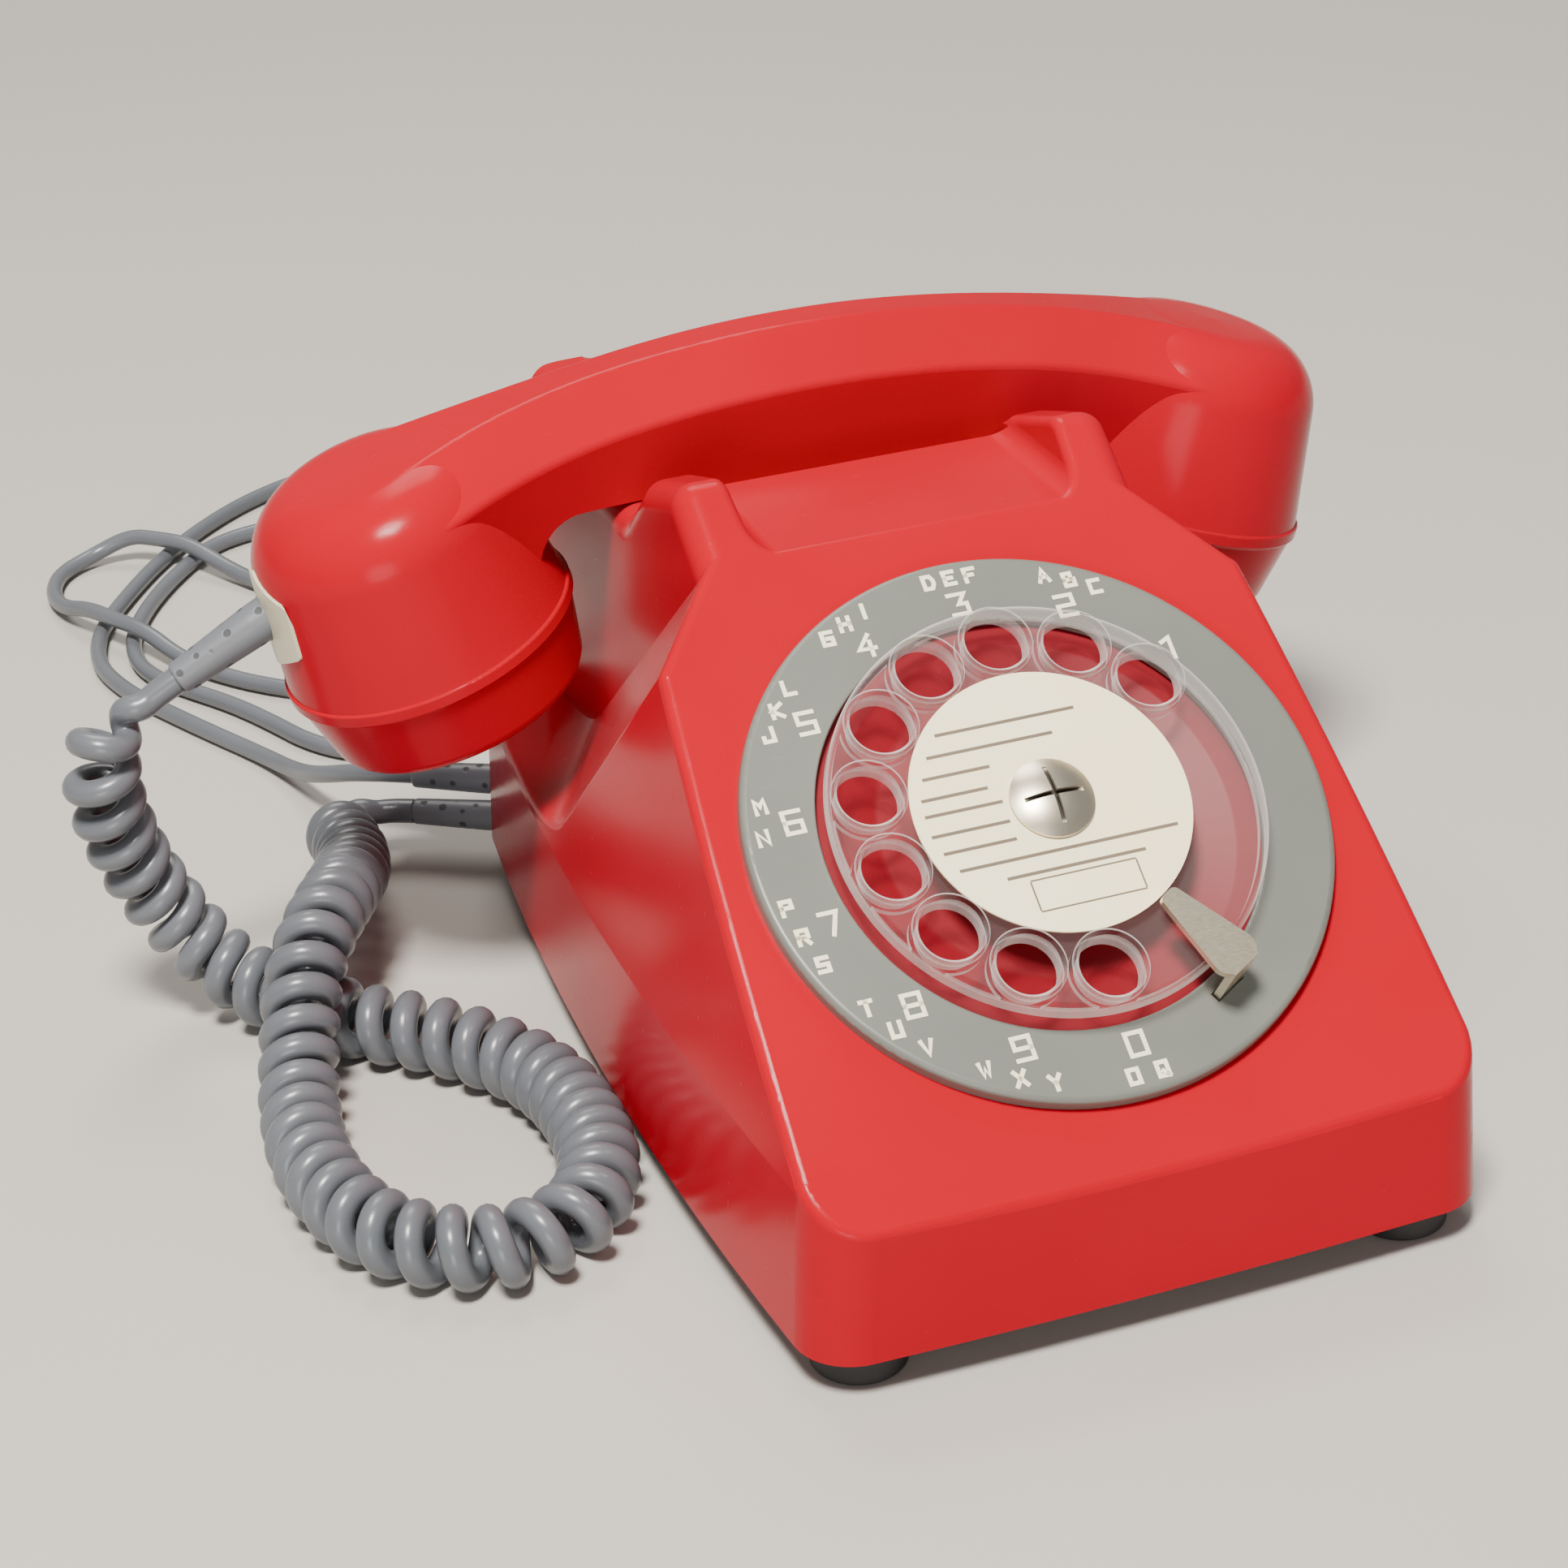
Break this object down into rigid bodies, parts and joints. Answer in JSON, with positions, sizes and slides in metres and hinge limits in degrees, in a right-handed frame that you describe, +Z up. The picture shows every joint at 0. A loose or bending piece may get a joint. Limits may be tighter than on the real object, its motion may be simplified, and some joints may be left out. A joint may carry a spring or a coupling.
{
  "type": "rotary dial telephone",
  "caption": "Corded desk telephone with a sloping panel, rotary finger dial, handset on a cradle, curly handset cord and line cord.",
  "frame": {"origin": "on the table under the middle of the telephone", "axes": "+Z up, -Y towards the user at the dial side, +X to the user's right along the handset"},
  "size_m": [0.2648, 0.4463, 0.1292],
  "materials": {
    "red_shell": "glossy moulded plastic",
    "ring_grey": "satin moulded plastic",
    "cream": "satin plastic",
    "clear_plastic": "clear moulded plastic",
    "card": "smooth card",
    "foot_rubber": "dark rubber",
    "cord_grey": "satin cord jacket",
    "zinc": "zinc plated steel",
    "bright": "polished metal",
    "brass": "plain brass",
    "black_plastic": "moulded plastic",
    "board": "laminate",
    "copper": "enamelled winding"
  },
  "bodies": {
    "base": {"housing": "red_shell", "base_plate": "zinc", "rubber_feet": "foot_rubber", "base_screws": "zinc", "circuit_board": "board", "board_screws": "zinc", "induction_coil": "copper", "capacitor": "cream", "terminal_block": "black_plastic", "dial_case": "zinc", "dial_plate": "red_shell", "number_ring": "ring_grey", "finger_stop": "bright", "governor_bracket": "zinc", "pulse_contacts": "brass", "return_spring": "zinc", "hook_bracket": "zinc", "switch_contacts": "brass", "ringer_frame": "zinc", "ringer_coils": "copper", "gong_left": "brass", "gong_right": "brass", "gong_screws": "zinc", "line_strain_relief": "cord_grey", "cord_strain_relief": "cord_grey", "curly_cord": "cord_grey", "line_cord": "cord_grey", "line_coil": "cord_grey", "cord_tie": "black_plastic", "line_plug": "cord_grey"},
    "dial": {"finger_wheel": "clear_plastic", "number_card": "card", "dome_nut": "bright", "dial_shaft": "zinc", "main_gear": "brass", "pulse_cam": "black_plastic"},
    "governor": {"governor": "brass"},
    "handset": {"handset_shell": "red_shell", "cord_entry_plate": "cream", "mouthpiece_cap": "red_shell", "earpiece_cap": "red_shell", "microphone": "zinc", "receiver": "zinc", "handset_strain_relief": "cord_grey"},
    "hook_bar": {"hook_bar": "zinc", "plunger_left": "cream", "plunger_right": "cream"},
    "clapper": {"clapper": "zinc"}
  },
  "joints": [
    {"name": "dial_turn", "type": "hinge", "parent": "base", "child": "dial", "pos_m": [0, -0.06254, 0.0782], "axis": [0, 0.5976, -0.8018], "range_deg": [0, 313], "stiffness_Nm_per_rad": 0.006, "springref_deg": -57.3},
    {"name": "governor_spin", "type": "hinge", "parent": "base", "child": "governor", "pos_m": [0, -0.02658, 0.07756], "axis": [0, 0.5976, -0.8018], "range_deg": [-1880, 2]},
    {"name": "handset_lift", "type": "slide", "parent": "base", "child": "handset", "axis": [0, 0, 1], "range_m": [0, 0.12], "deforming": ["curly_cord"]},
    {"name": "hook_rise", "type": "slide", "parent": "base", "child": "hook_bar", "axis": [0, 0, 1], "range_m": [0, 0.005]},
    {"name": "clapper_swing", "type": "hinge", "parent": "base", "child": "clapper", "pos_m": [0, 0.038, 0.0225], "axis": [0, 0, 1], "range_deg": [-3.5, 3.5], "stiffness_Nm_per_rad": 0.002}
  ],
  "couplings": [
    {"joint": "governor_spin", "follows": "dial_turn", "ratio": -6},
    {"joint": "hook_rise", "follows": "handset_lift", "ratio": 0.041667}
  ]
}
